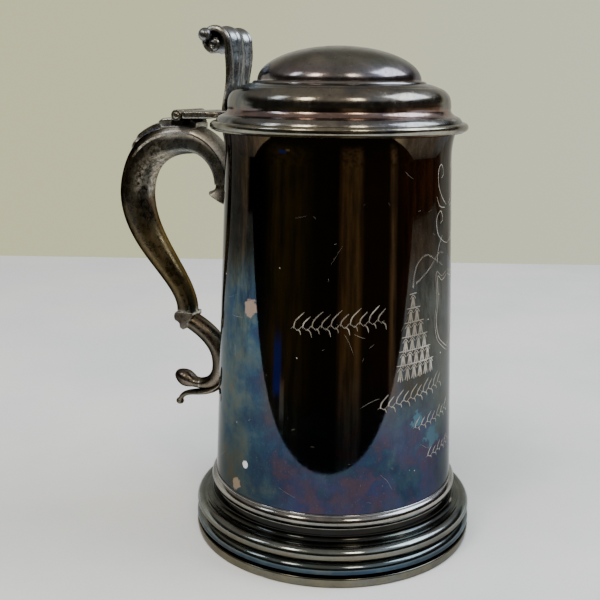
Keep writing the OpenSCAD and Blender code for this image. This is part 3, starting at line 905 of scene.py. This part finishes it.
def quarter(r, h, steps):
    """A quarter of an ellipse above the lid's shoulder, from its foot up to the axis."""
    turns = [math.pi / 2 * i / steps for i in range(steps)]
    return [(r * math.cos(a), SHOULDER_Z + h * math.sin(a)) for a in turns] + [(0, SHOULDER_Z + h)]


def lid_pieces(metal):
    """The lid's rim bead, its flange and shoulder, its dome and the collar under it."""
    round_r = RIM_H / 2
    rim_top = RIM_Z + round_r
    rim_bead = [(RIM_IN, RIM_Z - round_r + 0.02)]
    rim_bead += [(RIM_R - round_r + round_r * math.cos(a), RIM_Z + round_r * math.sin(a))
                 for a in [math.radians(-100 + 200 * k / 22) for k in range(23)]]
    rim_bead += [(RIM_IN, rim_top - 0.02)]
    turned("lid_rim", rim_bead, "lid", metal, "lid_bead")

    inner = NECK_R - LID_WALL
    cover = [(inner, LID_Z), (RIM_IN, LID_Z), (RIM_IN, rim_top - 0.25)]
    cover += [(RIM_IN - 0.3, rim_top - 0.05)]
    cover += arc((RIM_IN - 0.4, rim_top + 0.2), (NECK_R + 2.7, NECK_Z - 2.0), 0.35, 10)
    cover += arc((NECK_R + 2.62, NECK_Z - 1.95), (NECK_R, NECK_Z + 0.5), -0.45, 10)
    cover += arc((NECK_R + 0.02, NECK_Z + 0.8), (NECK_R, NECK_Z + 3.0), 0.08, 4)
    cover += arc((NECK_R - 0.02, NECK_Z + 3.2), (NECK_R - 5.1, SHOULDER_Z - 2.5), 1.35, 18)
    cover += arc((NECK_R - 5.3, SHOULDER_Z - 2.44), (DOME_R + 2.1, SHOULDER_Z - 0.95), 0.2, 8)
    cover += arc((DOME_R + 2.0, SHOULDER_Z - 0.75), (DOME_R + 0.35, SHOULDER_Z), 0.32, 7)
    cover += [(DOME_R - LID_WALL, SHOULDER_Z), (DOME_R - LID_WALL, SHOULDER_Z - 1.5)]
    cover += arc((DOME_R + 1.4, SHOULDER_Z - 2.2), (NECK_R - 5.8, SHOULDER_Z - 3.9), -0.2, 4)
    cover += arc((NECK_R - 6, SHOULDER_Z - 4), (inner, NECK_Z + 2.9), -1.1, 10)
    turned("lid_shoulder", cover, "lid", metal, "lid_cover", crease=24)

    dome = quarter(DOME_R, DOME_H, 36) + quarter(DOME_R - LID_WALL, DOME_H - LID_WALL, 24)[::-1]
    turned("lid_top", dome, "lid", metal, "lid_dome", fine=False)

    collar = [(inner - 1, LID_Z - 4), (inner - 0.3, LID_Z - 4)]
    collar += arc((inner - 0.25, LID_Z - 3.98), (inner, LID_Z - 3.5), 0.08, 4)
    collar += [(inner, LID_Z + 3), (inner - 1, LID_Z + 3)]
    turned("lid_collar", collar, "lid", metal, "lid_bezel", fine=False)


# ------------------------------------------------------------------ handle

# the middle line over the top, from the front of the crown to the fullest part of the grip
CROWN = ((70, 171.2), (86.4, 171.6), (98.3, 163.0), (99.1, 146))
CROWN_T = (12.6, 14.2, 15.8, 15.6)      # thickness along it
OUTER = 0.57            # how much of the handle's thickness lies outside its middle line
HEEL_AT = (73.8, 92)    # where the grip ends on the shoe
# path, thickness, width and squareness of the limb, the crown and the grip
HANDLE = (
    (((53.6, 153), (54, 162), (60.4, 170.4), CROWN[0]),
     (8.6, 7.4, 9.4, 12.6), (11, 11.5, 13, 14), (0.62, 0.62, 0.7, 0.8)),
    (CROWN, CROWN_T, (14, 14.6, 15.3, 15.5), (0.8, 0.9, 0.92, 0.92)),
    ((CROWN[-1], (99.1, 123), (73.4, 108), HEEL_AT),
     (15.6, 15.0, 7.4, 10.0), (15.5, 15, 10.5, 9.6), (0.92, 0.92, 0.95, 0.95)),
)


def handle_pieces(metal):
    """The grip from the drum round to the heel, its flared tail and the shoe."""
    st = stations(HANDLE, 30)
    rings = [section(p, d, t, w, 72, OUTER, sq, True, ease(56, 42, i))
             for i, (p, d, t, w, sq) in enumerate(st)]
    add("handle_grip", *loft(rings), "vessel", metal, ["handle_scroll"], crease=26)

    tail = []
    path = ((53.6, 153.2), (53.4, 151), (54.2, 149), (56.2, 146.6))
    for i in range(17):
        t = i / 16
        lean = Vector((-0.02 - 0.55 * ease(0.2, 1, t), 1)).normalized()
        lip = 1 - 0.10 * ease(0.93, 1, t)
        tail.append(section(bez(path, t), (-lean.x, -lean.y),
                            bez((8.4, 8.0, 8.6, 13.0), t) * lip,
                            bez((11, 11, 11.6, 13.5), t) * lip, 48, 1 - OUTER, 0.7))
    add("handle_flare", *loft(tail), "vessel", metal, ["handle_tail"], crease=40)

    heel_z = HEEL_AT[1]
    outline = [(69.6, heel_z), (78.4, heel_z)]
    outline += arc((78.5, heel_z - 0.3), (79.3, heel_z - 3.4), -0.45, 6)
    outline += arc((78.8, heel_z - 4.4), (76.6, heel_z - 5.8), 0.3, 4)
    outline += [(76.4, heel_z - 7.6), (74.6, heel_z - 8.6), (69.6, heel_z - 1.8)]
    ob = add("handle_shoe", *extruded(outline, 9.6), "vessel", metal, ["handle_heel"])
    bevelled(ob, 0.8)


def lower_pieces(metal):
    """The lower scroll, its round end and the curled leaf under it."""
    pieces = (
        (((72.4, 87.4), (65, 84), (56.9, 78), (56.5, 69.5)),
         (8.6, 9, 9.4, 9.6), (9.4, 9.2, 9, 9)),
        (((56.5, 69.5), (56.1, 62.3), (60.4, 57.0), (68, 56.6)),
         (9.6, 9, 6.6, 5.2), (9, 8.8, 7.4, 6.8)),
    )
    st = stations(pieces, 26)
    rings = [section(p, d, t, w, 36) for p, d, t, w in st]
    add("lower_c", *loft(rings), "vessel", metal, ["lower_scroll"])

    rings = []
    path = ((67.6, 56.6), (71, 56.5), (75, 57.3), (81.6, 60.6))
    for i in range(41):
        t = i / 40
        s = ease(0.25, 0.70, t)
        cut = math.sqrt(max(0.0, 1 - max(0.0, (t - 0.66) / 0.34) ** 2))
        rings.append(section(bez(path, t), heading(path, t), max(0.05, (5.0 + 3.4 * s) * cut),
                             max(0.05, (6.6 + 1.8 * s) * cut), 36))
    add("lower_bulb", *loft(rings), "vessel", metal, ["scroll_bulb"])

    pieces = (
        (((55.2, 61.6), (56.6, 56), (62, 53.6), (68, 52.3)), (2, 3.6, 3.4, 3.0), (4, 7, 7.4, 6.4)),
        (((68, 52.3), (73, 51.2), (78.6, 51), (79.6, 46.2)), (3.0, 2.6, 2.2, 2.4),
         (6.4, 4.6, 2.8, 2.6)),
    )
    st = stations(pieces, 20)
    leaf = loft([section(p, d, t, w, 28) for p, d, t, w in st])
    tip = ball((79.8, 0, 45.9), (1.9, 1.9, 1.7))
    add("lower_leaf", *merge(leaf, tip), "vessel", metal, ["scroll_tendril"])


# ------------------------------------------------------------------ hinge

def crown_point(t, lift):
    """A point lift above the handle's back at t along CROWN, and the way along it."""
    (x, z), (dx, dz) = bez(CROWN, t), heading(CROWN, t)
    out = bez(CROWN_T, t) * OUTER + lift
    return (x - out * dz, z + out * dx), (dx, dz)


def strap_plate(t0, t1, top, thick, wide, steps=18):
    """A plate along the handle's back from t0 to t1, with its ends rounded down."""
    rings = []
    for i in range(steps + 1):
        f = i / steps
        mid = top[0] + (top[1] - top[0]) * f - thick / 2
        p, d = crown_point(t0 + (t1 - t0) * f, mid)
        end = min(f, 1 - f)
        trim = 1 - 0.35 * (1 - ease(0, 0.10, end))
        w = (wide[0] + (wide[1] - wide[0]) * f) * (1 - 0.10 * (1 - ease(0, 0.12, end)))
        rings.append(section(p, d, thick * trim, w, 40, 0.5, 0.32))
    return loft(rings)


def drop_ball(t, radii):
    """A ball half sunk in the handle's back at t along CROWN."""
    (x, z), (dx, dz) = crown_point(t, 0.5)
    return ball((x, 0, z), radii, math.atan2(dz, dx))


def hinge_pieces(metal):
    """The plates and drop on the handle's back, the fixed knuckles and the pin."""
    first = strap_plate(-0.08, 0.25, (3.0, 4.0), 4.8, (12.5, 12))
    second = strap_plate(0.20, 0.52, (2.6, 2.2), 3.6, (11.5, 8.5))
    add("hinge_plates", *merge(first, second), "vessel", metal, ["hinge_strap"], crease=40)

    drop, collar = drop_ball(0.575, (3.7, 2.6, 1.9)), drop_ball(0.515, (0.8, 2.2, 1.7))
    add("hinge_drop", *merge(drop, collar), "vessel", metal, ["strap_drop"])

    spans = [(-BARREL_L / 2, KNUCKLE_END), (-KNUCKLE_MID / 2, KNUCKLE_MID),
             (BARREL_L / 2 - KNUCKLE_END, KNUCKLE_END)]
    parts = [knuckle(y, length, PIN_R, True) for y, length in spans]
    block = [(HINGE_X - KNUCKLE_R, MOUTH_Z + 0.9), (HINGE_X + KNUCKLE_R, MOUTH_Z + 0.9),
             (HINGE_X + KNUCKLE_R, MOUTH_Z + 2.35), (HINGE_X - KNUCKLE_R, MOUTH_Z + 2.35)]
    parts.append(extruded(block, BARREL_L))
    add("hinge_fixed_knuckles", *merge(*parts), "vessel", metal, ["root_knuckles"], crease=35)

    pin = [(0, -BARREL_L / 2 - 0.35)]
    pin += arc((0.5, -BARREL_L / 2 - 0.33), (PIN_R, -BARREL_L / 2), 0.12, 4)
    pin += arc((PIN_R, BARREL_L / 2), (0.5, BARREL_L / 2 + 0.33), 0.12, 4)
    pin += [(0, BARREL_L / 2 + 0.35)]
    rod = laid_down(lathe(pin, 40), HINGE_X, HINGE_Z)
    add("hinge_rod", *rod, "vessel", metal, ["hinge_pin"], crease=35)


def knuckle(y, length, bore, foot):
    """A tube round the pin with eased ends; a fixed one has a foot under it."""
    r, ease_r = KNUCKLE_R, 0.3
    profile = [(bore, 0), (r - ease_r, 0)] + arc((r - ease_r + 0.02, 0), (r, ease_r), 0.08, 4)
    profile += arc((r, length - ease_r), (r - ease_r, length), 0.08, 4) + [(bore, length)]
    tube = laid_down(lathe(profile, 48), HINGE_X, HINGE_Z, y)
    if not foot:
        return tube
    outline = [(HINGE_X - r * 0.96, MOUTH_Z + 2.2), (HINGE_X + r * 0.96, MOUTH_Z + 2.2),
               (HINGE_X + r * 0.8, HINGE_Z - 1.6), (HINGE_X - r * 0.8, HINGE_Z - 1.6)]
    return merge(tube, extruded(outline, length - 0.2, y + length / 2))


def lid_leaf_piece(metal):
    """The tongue on the lid with its two knuckles."""
    free = (BARREL_L - 2 * KNUCKLE_END - KNUCKLE_MID) / 2
    length = free - 2 * KNUCKLE_GAP
    web = [(HINGE_X - 1.6, HINGE_Z - 1.0), (HINGE_X - 1.6, HINGE_Z + 1.9),
           (HINGE_X - 3.3, HINGE_Z + 1.9), (HINGE_X - 3.3, HINGE_Z - 1.0)]
    parts = []
    for s in (-1, 1):
        y = s * (KNUCKLE_MID / 2 + free / 2) - free / 2 + KNUCKLE_GAP
        parts.append(knuckle(y, length, PIN_R + RUN_GAP, False))
        parts.append(extruded(web, length, y + length / 2))
    rings = []
    start, end, steps = HINGE_X - 2.9, 48.4, 34
    for i in range(steps + 1):
        f = i / steps
        x = start + (end - start) * f
        wide = BARREL_L * math.sqrt(max(0.0004, 1 - max(0.0, (f - 0.56) / 0.44) ** 2))
        wide *= 1 - 0.03 * (1 - ease(0, 0.05, f))
        thick = 3.7 - 1.3 * ease(0.4, 1, f)
        top = HINGE_Z + 1.9 - 0.35 * ease(0.3, 1, f) + 0.35 * math.sin(math.pi * f)
        rings.append(section((x, top - thick / 2), (-1, 0), thick, wide, 44, 0.5, 0.30))
    parts.append(loft(rings))
    add("lid_tongue", *merge(*parts), "lid", metal, ["lid_leaf"], crease=35)


# ------------------------------------------------------------------ thumbpiece

STEM = ((48.2, MOUTH_Z + 7.6), (47.6, MOUTH_Z + 18), (46.0, MOUTH_Z + 26),
        (ROLL_AT[0] - ROLL_R, ROLL_AT[1]))
STEM_SHARE = 0.55       # the stem's share of the way from the thumbpiece's foot to its tip


def thumb_path():
    """Place, direction, thickness, half width and share of the way, stem first, then roll."""
    out = []
    steps = 40
    for i in range(steps + 1):
        t = i / steps
        thick = 1.7 + 1.7 * ease(0.15, 0.75, t) - 0.7 * ease(0.8, 1, t)
        half = 12.6 - 2.2 * ease(0, 0.45, t) + 1.4 * ease(0.55, 1, t)
        out.append((bez(STEM, t), heading(STEM, t), thick, half, t * STEM_SHARE))
    steps = 44
    for i in range(1, steps + 1):
        f = i / steps
        a = math.radians(180 - 245 * f)
        r = ROLL_R - 2.0 * ease(0.35, 1, f)
        p = (ROLL_AT[0] + r * math.cos(a), ROLL_AT[1] + r * math.sin(a))
        thick = 2.7 - 1.2 * ease(0, 1, f)
        half = 11.8 + 0.5 * math.sin(math.pi * f)
        way = STEM_SHARE + (1 - STEM_SHARE) * f
        out.append((p, (math.sin(a), -math.cos(a)), thick, half, way))
    return out


def groove(u, middle, width):
    """How deep a round-bottomed groove is at u across; both sides of the leaf have one."""
    return math.exp(-((abs(u) - middle) / width) ** 2)


def thumb_relief(u, s):
    """Height of the carving on the outer face at u across and s along."""
    deep = 0.30 + 0.75 * ease(0.18, 0.5, s) + 0.35 * ease(0.5, 0.62, s) - 0.7 * ease(0.8, 1, s)
    height = 0.5 * deep * math.cos(2 * math.pi * u)
    height -= 0.75 * groove(u, 0.5, 0.11) * ease(0.2, 0.3, s) * (1 - ease(0.56, 0.66, s))
    fine = groove(u, 0.16, 0.05) + groove(u, 0.84, 0.05)
    height -= 0.28 * fine * ease(0.08, 0.2, s) * (1 - ease(0.75, 0.9, s))
    veins = math.cos(2 * math.pi * (s * 26 - abs(u) * 1.6))
    height += 0.16 * veins * (1 - ease(0.16, 0.24, s)) * (1 - abs(u)) ** 0.3
    return height


def thumb_pieces(metal):
    """The fluted leaf, the core of its roll and the two bosses at the core's ends."""
    cols = 64
    rings = []
    for (x, z), (dx, dz), thick, half, s in thumb_path():
        ring = []
        for k in range(cols + 1):
            u = -1 + 2 * k / cols
            lift = thick / 2 * (1 - 0.55 * ease(0.9, 1.0, abs(u)))
            lift += thumb_relief(u, s) * (1 - 0.5 * ease(0.96, 1, abs(u)))
            ring.append((lift * dz - x, half * u, z + lift * dx))
        for k in range(cols, -1, -4):
            u = -1 + 2 * k / cols
            lift = -thick / 2 * (1 - 0.5 * ease(0.85, 1.0, abs(u)))
            ring.append((lift * dz - x, half * u, z + lift * dx))
        rings.append(ring)
    add("thumb_fluted_leaf", *loft(rings), "lid", metal, ["thumb_leaf"], crease=50)

    half, core_r, end_steps = 11.4, ROLL_R - 2.6, 9
    end = [(0.6 + (core_r - 0.6) * i / end_steps,
            half - 1.0 + 0.72 * math.sin(math.pi * i / end_steps) ** 2)
           for i in range(end_steps + 1)]
    core = [(0, 1.0 - half)] + [(r, -y) for r, y in end] + [(core_r, 0.6 - half)]
    core += [(core_r, half - 0.6)] + end[::-1] + [(0, half - 1.0)]
    roll = laid_down(lathe(core, 64), ROLL_AT[0] + 0.6, ROLL_AT[1] - 0.4)
    add("thumb_scroll_core", *roll, "lid", metal, ["thumb_roll"], crease=40)

    bosses = [ball((ROLL_AT[0] + 3.6, s * (half + 1.2), ROLL_AT[1] + 3.4), (2.9, 2.7, 2.9))
              for s in (-1, 1)]
    add("thumb_round_bosses", *merge(*bosses), "lid", metal, ["thumb_bosses"])


# ------------------------------------------------------------------ engraving

def smooth(points, n=6):
    """A curve through every point."""
    out = []
    for i in range(len(points) - 1):
        a, b = points[max(0, i - 1)], points[i]
        c, d = points[i + 1], points[min(len(points) - 1, i + 2)]
        for j in range(n):
            t = j / n
            out.append(tuple(0.5 * (2 * b[k] + (c[k] - a[k]) * t
                                    + (2 * a[k] - 5 * b[k] + 4 * c[k] - d[k]) * t * t
                                    + (3 * b[k] - a[k] - 3 * c[k] + d[k]) * t ** 3)
                             for k in range(2)))
    out.append(tuple(points[-1]))
    return out


def stroke(points, width, tip=0.25, lift=0.045):
    """A cut along points (degrees from the front, height), swelling between its tips."""
    rings = []
    total = len(points) - 1
    for i, (deg, z) in enumerate(points):
        a0, z0 = points[max(0, i - 1)]
        a1, z1 = points[min(total, i + 1)]
        r = drum_r(z)
        dx, dz = math.radians(a1 - a0) * r, z1 - z0
        length = math.hypot(dx, dz) or 1.0
        w = width / 2 * (tip + (1 - tip) * math.sin(math.pi * i / total) ** 0.6)
        nx, nz = -dz / length * w, dx / length * w
        ring = []
        for side, rise in ((1, -0.15), (1, 0.02), (0, lift), (-1, 0.02), (-1, -0.15)):
            zz = z + nz * side
            a = math.radians(deg - 90) + CAMERA_TURN + nx * side / r
            rr = drum_r(zz) + rise
            ring.append((rr * math.cos(a), rr * math.sin(a), zz))
        rings.append(ring)
    return loft(rings)


def cut(points, width, tip=0.25, n=6, lift=0.045):
    """A stroke along the curve through the points."""
    return stroke(smooth(points, n), width, tip, lift)


def branch(start, end, pitch, tall, width=0.34):
    """A wavy stem with slanting leaves on both sides."""
    (a0, z0), (a1, z1) = start, end
    count = max(2, round((a1 - a0) / pitch))
    stem = []
    for i in range(count * 4 + 1):
        f = i / (count * 4)
        wave = 0.10 * tall * math.sin(i * math.pi / 2)
        stem.append((a0 + (a1 - a0) * f, z0 + (z1 - z0) * f + wave))
    parts = [cut(stem, width * 0.8, n=3)]
    for i in range(count):
        f = (i + 0.3) / count
        a, z = a0 + (a1 - a0) * f, z0 + (z1 - z0) * f
        up = tall * (0.62 if i % 2 else 0.85)
        upper = [(a, z), (a + 0.12 * up, z + 0.45 * up), (a + 0.72 * up, z + up)]
        parts.append(cut(upper, width * 1.5, 0.1))
        down = tall * (0.42 if i % 2 else 0.28)
        b = a + 0.4 * pitch
        lower = [(b, z), (b + 0.5 * down, z - 0.35 * down), (b + 0.7 * down, z - down)]
        parts.append(cut(lower, width * 1.2, 0.1))
    return parts


def husks(top, foot, rows, step=3.9):
    """Rows of small hanging leaves, one more in each row, under a line each."""
    parts = []
    for row in range(rows):
        f = row / (rows - 1)
        z = top[1] + (foot[1] - top[1]) * f
        mid = top[0] + (foot[0] - top[0]) * f
        for k in range(row + 1):
            a = mid + (k - row / 2) * step
            zz = z + 0.06 * (a - mid)
            for spread in (-1, 0, 1):
                parts.append(cut([(a + 0.35 * spread, zz + 1.2), (a + 0.8 * spread, zz - 1.6),
                                  (a + 1.35 * spread, zz - 4.0 + 0.4 * abs(spread))],
                                 0.62, 0.2, 5))
            parts.append(cut([(a - 1.7, zz + 0.4), (a, zz + 1.9), (a + 1.7, zz + 0.4)],
                             0.36, 0.5, 5))
        reach = (row / 2 + 0.55) * step
        parts.append(cut([(mid - reach, z + 2.3), (mid, z + 2.5), (mid + reach, z + 2.6)],
                         0.5, 0.6))
    return parts


def cord(points, width):
    """A twisted cord, cut as a row of short slanting strokes."""
    parts, line = [], smooth(points, 14)
    for (a0, z0), (a1, z1) in zip(line[:-2:2], line[2::2]):
        r = drum_r(z0)
        dx, dz = math.radians(a1 - a0) * r, z1 - z0
        size = 0.5 * width / (math.hypot(dx, dz) or 1.0)
        sx, sz = (0.7 * dx - dz) * size, (dx + 0.7 * dz) * size
        d = math.degrees(sx / r)
        parts.append(stroke([(a0 - d, z0 - sz), (a0, z0), (a0 + d, z0 + sz)], 0.26, 0.5))
    return parts


SHIELD_AT = 68          # the blank shield's middle, in degrees from the front


def mirrored(line):
    """The same line on the shield's other side."""
    return [(2 * SHIELD_AT - a, z) for a, z in line]


def engraving(metal):
    """A blank shield with a cord, a drop of husks and leafy sprays."""
    parts = branch((-20, 104.0), (22.5, 107.6), 4.4, 8.2, 0.34)
    parts += branch((20, 71.5), (60, 77.0), 4.2, 6.6, 0.36)
    parts += branch((39, 60.5), (68, 63.0), 4.4, 5.2, 0.32)
    parts += branch((48, 46.0), (69, 47.5), 4.6, 4.6, 0.32)
    parts += husks((38.0, 114.5), (41.0, 86.0), 6)
    parts += cord([(38, 119.5), (38.6, 124), (41, 129), (47, 131.5), (55, 128.5), (62, 125.5)], 0.8)
    parts += cord([(40, 121), (45, 123.5), (51, 127.0), (57, 131.0), (63, 130.5)], 0.8)
    for grow, width in ((0, 0.45), (1.6, 0.26)):
        g, gz = grow * 0.9, grow * 1.1
        shield = [(67, 121 + gz), (61, 119.5 + gz), (56.5 - g, 121.5 + gz), (57 - g, 112),
                  (55.5 - g, 103), (58 - g, 96 - gz * 0.5), (63, 92.5 - gz), (68, 90 - gz)]
        parts += [cut(line, width, 0.7, 8) for line in (shield, mirrored(shield))]
    curls = ([(68, 134), (62, 135.5), (56.5, 139), (55, 145), (59, 148), (61.5, 144.5),
              (58.5, 143)],
             [(66, 150), (61, 153), (57, 158), (56.5, 164), (59.5, 166.5), (62, 163), (59.5, 161)],
             [(61, 138), (57, 133), (56, 127)],
             [(64, 149), (58, 150), (55, 154)])
    for line in (*curls, *(mirrored(curl) for curl in curls)):
        parts.append(cut(line, 0.42, 0.3, 7))
    add("drum_engraving", *merge(*parts), "vessel", metal, crease=60)


def scratches(metal, count=48):
    """Short pin scratches, at random on the drum's front."""
    low, high = 30, 168
    marks = []
    for _ in range(count):
        a, z = random.uniform(-75, 75), random.uniform(32, 165)
        way, size = random.uniform(0, math.pi), random.choice((0.8, 1.5, 2.5, 5.0, 9.0))
        bend = random.uniform(-0.15, 0.15) * size
        da = math.degrees(math.cos(way) * size / drum_r(z)) / 2
        dz = math.sin(way) * size / 2
        if not low < z - abs(dz) < z + abs(dz) < high:
            continue
        line = [(a - da, z - dz), (a + bend * 0.3, z + bend * 0.5), (a + da, z + dz)]
        marks.append(cut(line, random.uniform(0.04, 0.08), 0.2, 5, 0.02))
    add("drum_scratches", *merge(*marks), "vessel", metal, crease=60)


# ------------------------------------------------------------------ build

make_camera()
room()
table()
lights()

hinge, handle, bright = hinge_plate(), handle_plate(), bright_cut()
foot_pieces(foot_plate())
drum_pieces(drum_metal())
lid_pieces(lid_plate())
handle_pieces(handle)
lower_pieces(handle)
hinge_pieces(hinge)
lid_leaf_piece(hinge)
thumb_pieces(thumb_plate())
engraving(bright)
scratches(bright)
